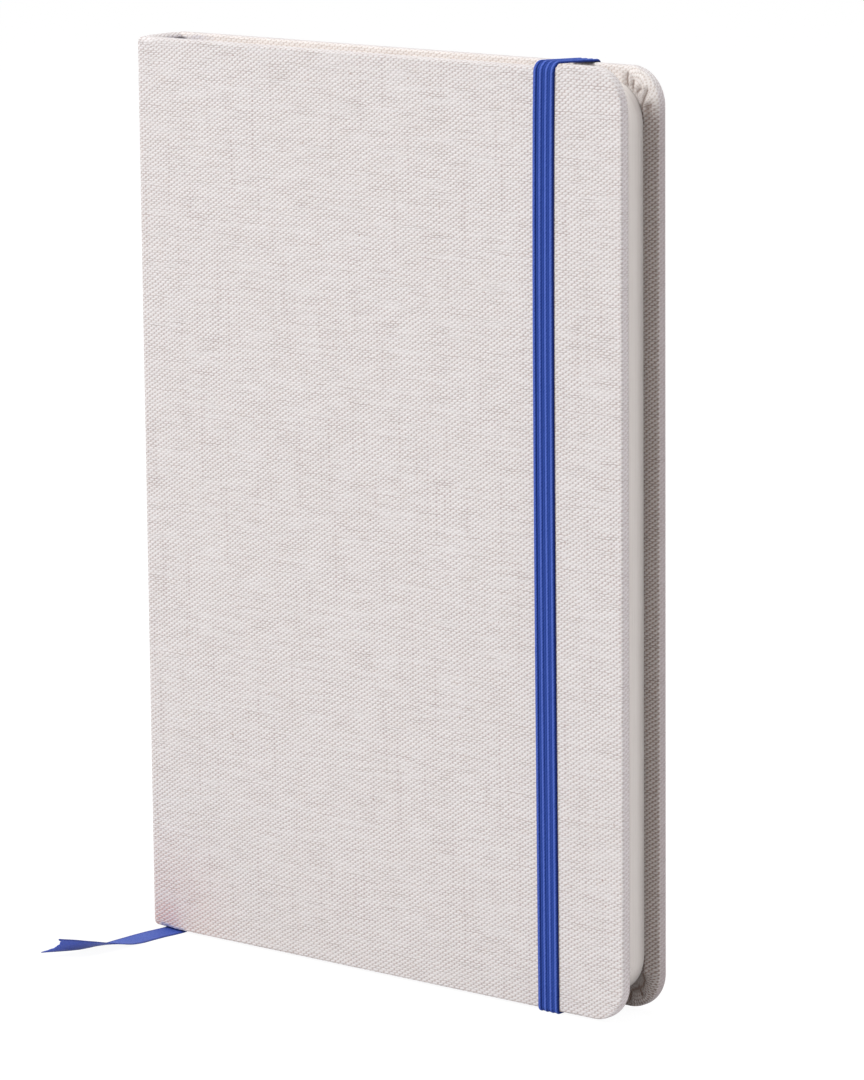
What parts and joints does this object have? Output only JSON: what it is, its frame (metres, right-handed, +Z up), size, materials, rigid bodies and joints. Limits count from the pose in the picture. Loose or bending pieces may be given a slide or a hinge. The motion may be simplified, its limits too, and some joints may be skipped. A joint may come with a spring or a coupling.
{
  "type": "notebook",
  "caption": "Upright case-bound notebook with rounded canvas covers that open, a blue ribbed elastic round the covers and a blue ribbon marker.",
  "frame": {"origin": "centre of the closed notebook's outline on the surface that it stands on, level with the underside of the elastic", "axes": "+X from the spine to the fore-edge, +Y from the front cover to the back cover, +Z up from the tail to the head"},
  "size_m": [0.1423, 0.0519, 0.2113],
  "materials": {
    "paper": "matte",
    "endpaper": "matte",
    "board": "matte",
    "lining": "matte",
    "canvas": "matte",
    "elastic": "matte",
    "ribbon": "satin"
  },
  "bodies": {
    "book_block": {"page_block": "paper", "spine_lining": "lining", "spine_strip": "board", "spine_cloth": "canvas", "bookmark_ribbon": "ribbon", "ribbon_tail": "ribbon"},
    "front_cover": {"front_board": "board", "front_cloth": "canvas", "front_endpaper": "endpaper"},
    "back_cover": {"back_board": "board", "back_cloth": "canvas", "back_endpaper": "endpaper", "elastic_band": "elastic"}
  },
  "joints": [
    {"name": "front_cover_hinge", "type": "hinge", "parent": "book_block", "child": "front_cover", "pos_m": [-0.0686, -0.00655, 0.10565], "axis": [0, 0, -1], "range_deg": [0, 180], "stiffness_Nm_per_rad": 0.004, "springref_deg": -28.65, "deforming": ["elastic_band"]},
    {"name": "back_cover_hinge", "type": "hinge", "parent": "book_block", "child": "back_cover", "pos_m": [-0.0686, 0.00655, 0.10565], "axis": [0, 0, 1], "range_deg": [0, 180], "stiffness_Nm_per_rad": 0.004, "springref_deg": -28.65, "deforming": ["elastic_band"]}
  ]
}
